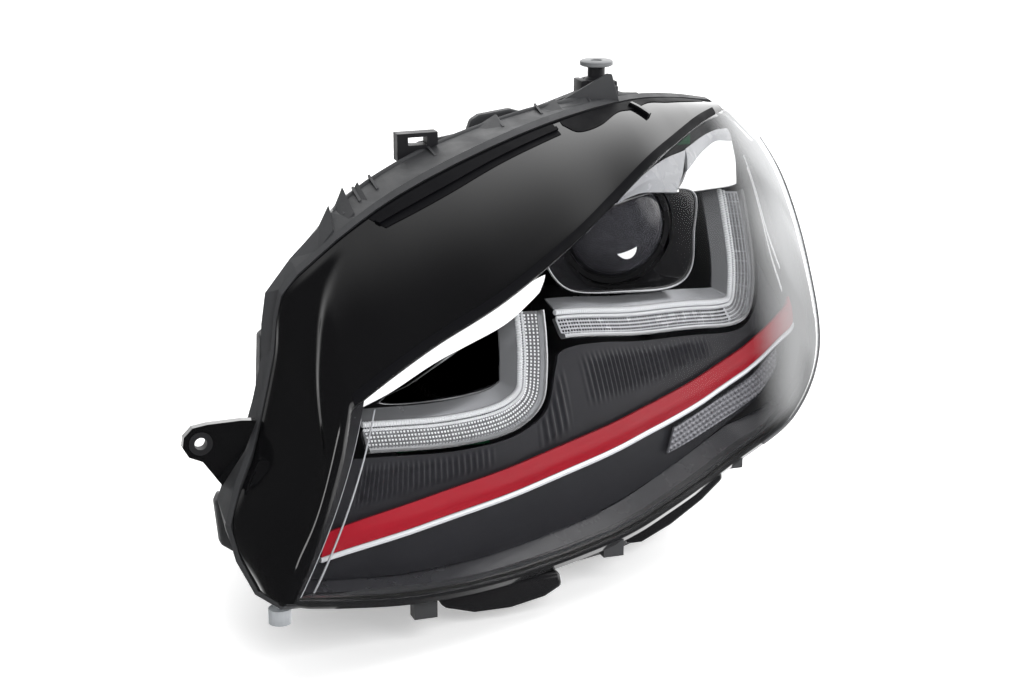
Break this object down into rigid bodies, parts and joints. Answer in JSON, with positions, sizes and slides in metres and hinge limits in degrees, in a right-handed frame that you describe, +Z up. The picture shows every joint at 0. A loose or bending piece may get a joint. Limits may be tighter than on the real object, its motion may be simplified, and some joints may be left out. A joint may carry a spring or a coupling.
{
  "type": "car headlight assembly",
  "caption": "Left-hand car headlight: clear lens, black border, U-shaped daytime lights, swivelling projector, red trim strip, grey housing.",
  "frame": {"origin": "centre of the lamp's footprint box on the floor it stands on", "axes": "+X from the grille end to the fender end, +Y from the lens back to the rear covers, +Z up"},
  "size_m": [0.503, 0.362, 0.3465],
  "materials": {
    "housing_plastic": "fine matte grain",
    "clear_lens": "clear hard-coated polycarbonate",
    "gloss_black": "piano gloss",
    "seal_rubber": "matte",
    "bezel_grey": "satin anthracite",
    "red_trim": "gloss",
    "chrome": "mirror",
    "light_guide": "clear acrylic",
    "shroud_black": "satin",
    "dark_chrome": "dark mirror",
    "bulb_glass": "clear",
    "black_plastic": "matte",
    "white_trim": "satin white metallised",
    "projector_glass": "clear",
    "aluminium": "die cast",
    "steel": "zinc plated",
    "brass": "plain",
    "circuit_board": "solder mask",
    "sleeve_grey": "matte",
    "clear_grey": "frosted"
  },
  "bodies": {
    "lamp_body": {"housing": "housing_plastic", "rear_housing": "housing_plastic", "retaining_clip": "black_plastic", "outer_lens": "clear_lens", "lens_border": "gloss_black", "lens_seal": "seal_rubber", "bezel": "bezel_grey", "red_trim_strip": "red_trim", "chrome_trim_strip": "chrome", "inner_daytime_reflector": "chrome", "outer_daytime_reflector": "chrome", "inner_light_guide": "light_guide", "outer_light_guide": "light_guide", "projector_shroud": "shroud_black", "inner_reflector": "dark_chrome", "high_beam_bulb": "bulb_glass", "high_beam_bulb_holder": "black_plastic", "inner_turn_reflector": "white_trim", "outer_turn_reflector": "white_trim", "side_marker_reflector": "light_guide", "outer_side_panel": "bezel_grey", "levelling_motor": "black_plastic", "ballast": "aluminium", "ballast_plug": "black_plastic", "ballast_screw_1": "steel", "ballast_screw_2": "steel", "ballast_screw_3": "steel", "ballast_screw_4": "steel", "wiring_socket": "black_plastic", "socket_terminals": "brass", "breather_cap": "seal_rubber", "inner_led_board": "circuit_board", "inner_led_heatsink": "aluminium", "outer_led_board": "circuit_board", "outer_led_heatsink": "aluminium", "turn_led_board": "circuit_board", "inner_bracket": "gloss_black", "bracket_bush": "steel", "alignment_pin": "clear_grey"},
    "aim_frame": {"aim_frame": "black_plastic", "swivel_motor": "black_plastic"},
    "projector": {"projector_lens": "projector_glass", "projector_lens_ring": "aluminium", "projector_barrel": "aluminium", "shutter_carrier": "aluminium", "projector_reflector": "chrome", "xenon_bulb": "bulb_glass", "igniter": "aluminium", "shutter_solenoid": "steel"},
    "shutter": {"shutter_flap": "steel"},
    "levelling_rod": {"levelling_rod": "black_plastic"},
    "vertical_aim_screw": {"vertical_aim_screw": "black_plastic"},
    "horizontal_aim_screw": {"horizontal_aim_screw": "black_plastic"},
    "low_beam_seal": {"low_beam_cover_seal": "seal_rubber"},
    "low_beam_cover": {"low_beam_cover": "black_plastic"},
    "high_beam_seal": {"high_beam_cover_seal": "seal_rubber"},
    "high_beam_cover": {"high_beam_cover": "black_plastic"},
    "upper_mount_sleeve": {"upper_mount_sleeve": "sleeve_grey"}
  },
  "joints": [
    {"name": "beam_tilt", "type": "hinge", "parent": "lamp_body", "child": "aim_frame", "pos_m": [0.0926, 0.061, 0.236], "axis": [1, 0, 0], "range_deg": [-3, 3]},
    {"name": "beam_swivel", "type": "hinge", "parent": "aim_frame", "child": "projector", "pos_m": [0.0926, 0.061, 0.236], "axis": [0, 0, 1], "range_deg": [-8, 8]},
    {"name": "shutter_fold", "type": "hinge", "parent": "projector", "child": "shutter", "pos_m": [0.0926, 0.0738, 0.198], "axis": [-1, 0, 0], "range_deg": [0, 20], "stiffness_Nm_per_rad": 0.02, "springref_deg": -11.46},
    {"name": "levelling_rod_slide", "type": "slide", "parent": "lamp_body", "child": "levelling_rod", "axis": [0, 1, 0], "range_m": [-0.0036, 0.0036]},
    {"name": "vertical_aim_screw_turn", "type": "hinge", "parent": "lamp_body", "child": "vertical_aim_screw", "pos_m": [0.1686, 0.157, 0.124], "axis": [0, 1, 0], "continuous": true},
    {"name": "horizontal_aim_screw_turn", "type": "hinge", "parent": "lamp_body", "child": "horizontal_aim_screw", "pos_m": [0.0166, 0.157, 0.144], "axis": [0, 1, 0], "continuous": true},
    {"name": "low_beam_cover_turn", "type": "hinge", "parent": "lamp_body", "child": "low_beam_seal", "pos_m": [0.0926, 0.157, 0.236], "axis": [0, 1, 0], "range_deg": [0, 45]},
    {"name": "low_beam_cover_pull", "type": "slide", "parent": "low_beam_seal", "child": "low_beam_cover", "axis": [0, 1, 0], "range_m": [0, 0.06]},
    {"name": "high_beam_cover_turn", "type": "hinge", "parent": "lamp_body", "child": "high_beam_seal", "pos_m": [-0.0574, 0.157, 0.174], "axis": [0, 1, 0], "range_deg": [0, 45]},
    {"name": "high_beam_cover_pull", "type": "slide", "parent": "high_beam_seal", "child": "high_beam_cover", "axis": [0, 1, 0], "range_m": [0, 0.06]},
    {"name": "upper_mount_sleeve_turn", "type": "hinge", "parent": "lamp_body", "child": "upper_mount_sleeve", "pos_m": [0.1036, 0.1, 0.334], "axis": [0, 0, 1], "continuous": true}
  ],
  "couplings": [
    {"joint": "levelling_rod_slide", "follows": "beam_tilt", "m_per_rad": 0.064}
  ]
}
